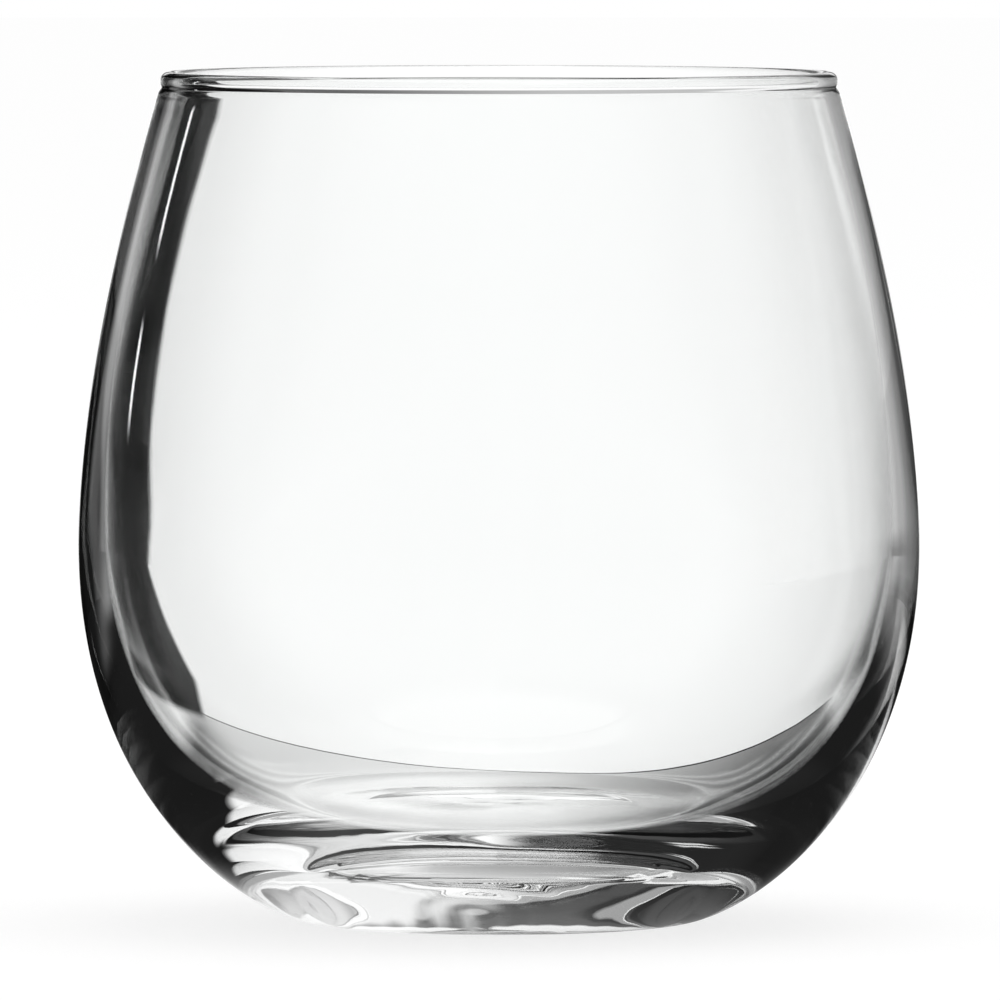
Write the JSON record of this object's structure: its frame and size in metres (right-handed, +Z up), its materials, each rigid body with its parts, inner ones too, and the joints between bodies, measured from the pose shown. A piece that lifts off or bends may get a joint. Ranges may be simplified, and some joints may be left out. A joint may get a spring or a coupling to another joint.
{
  "type": "stemless wine glass",
  "caption": "Stemless wine glass: round clear bowl that swells to a wide belly and narrows to a beaded rim, with a thick base and a small foot with a shallow punt.",
  "frame": {"origin": "middle of the foot, on the plane that the glass stands on", "axes": "+Z up along the axis of the glass, from the foot to the mouth; the glass is round, so X and Y are any two square directions"},
  "size_m": [0.09, 0.09, 0.091],
  "materials": {
    "clear_glass": "fire-polished, clear and smooth"
  },
  "bodies": {
    "root": {"glass_body": "clear_glass"}
  },
  "joints": []
}
